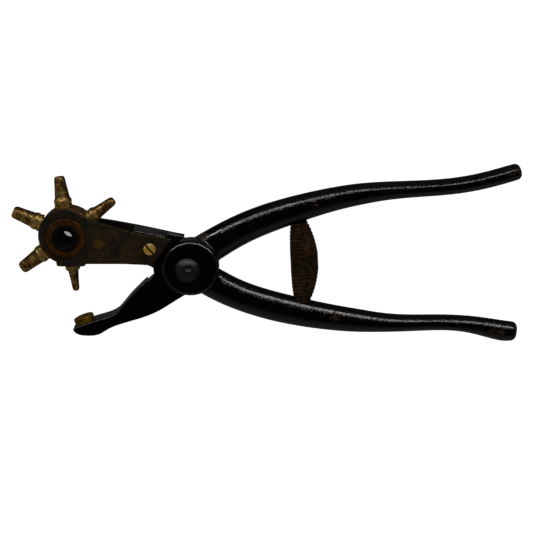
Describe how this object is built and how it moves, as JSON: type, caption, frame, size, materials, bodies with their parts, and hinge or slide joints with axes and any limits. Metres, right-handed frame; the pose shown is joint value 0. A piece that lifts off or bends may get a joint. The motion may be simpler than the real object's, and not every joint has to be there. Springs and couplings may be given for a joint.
{
  "type": "rotary hole punch",
  "caption": "Lap-joint pliers with a turret of screwed-in punch tubes on the upper jaw, a brass anvil on the lower jaw and a coil spring between the handles.",
  "frame": {"origin": "pivot axis, at the plane of the rivet's flat rear end and the axle's rear flange, which the tool lies on", "axes": "+X from the pivot towards the handle ends, +Y towards the upper handle, +Z along the pivot towards its domed head"},
  "size_m": [0.23, 0.0825, 0.0209],
  "materials": {
    "black_japan": "black japanning, glossy, worn along the ridges",
    "plate_steel": "brown rusted steel",
    "screw_brass": "worn bright on the head",
    "axle_steel": "dark worn steel",
    "washer_copper": "tarnished copper brown",
    "spring_steel": "dark steel with rust",
    "rivet_steel": "dark worn steel",
    "wheel_bronze": "tarnished bronze",
    "tube_brass": "aged brass, greyed, bright at the edges",
    "anvil_brass": "brass worn bright by the tubes"
  },
  "bodies": {
    "turret_side": {"turret_lever": "black_japan", "front_side_plate": "plate_steel", "rear_side_plate": "plate_steel", "plate_screw": "screw_brass", "turret_axle": "axle_steel", "axle_washer_front": "washer_copper", "axle_washer_rear": "washer_copper", "index_spring": "spring_steel", "index_spring_rivet": "axle_steel", "pivot_rivet": "rivet_steel", "pivot_burr": "rivet_steel", "handle_spring": "spring_steel", "spring_stud_lower": "rivet_steel"},
    "turret": {"turret_wheel": "wheel_bronze", "punch_tube_20": "tube_brass", "punch_tube_25": "tube_brass", "punch_tube_30": "tube_brass", "punch_tube_35": "tube_brass", "punch_tube_40": "tube_brass", "punch_tube_45": "tube_brass"},
    "anvil_side": {"anvil_lever": "black_japan", "anvil_disc": "anvil_brass", "spring_stud_upper": "rivet_steel"}
  },
  "joints": [
    {"name": "handle_pivot", "type": "hinge", "parent": "turret_side", "child": "anvil_side", "pos_m": [0, 0, 0.0092], "axis": [0, 0, -1], "range_deg": [0, 12.9], "stiffness_Nm_per_rad": 2.5, "springref_deg": -8.59, "deforming": ["handle_spring"]},
    {"name": "turret_spin", "type": "hinge", "parent": "turret_side", "child": "turret", "pos_m": [-0.0556, 0.0139, 0.0092], "axis": [0, 0, 1], "continuous": true, "deforming": ["index_spring"]}
  ]
}
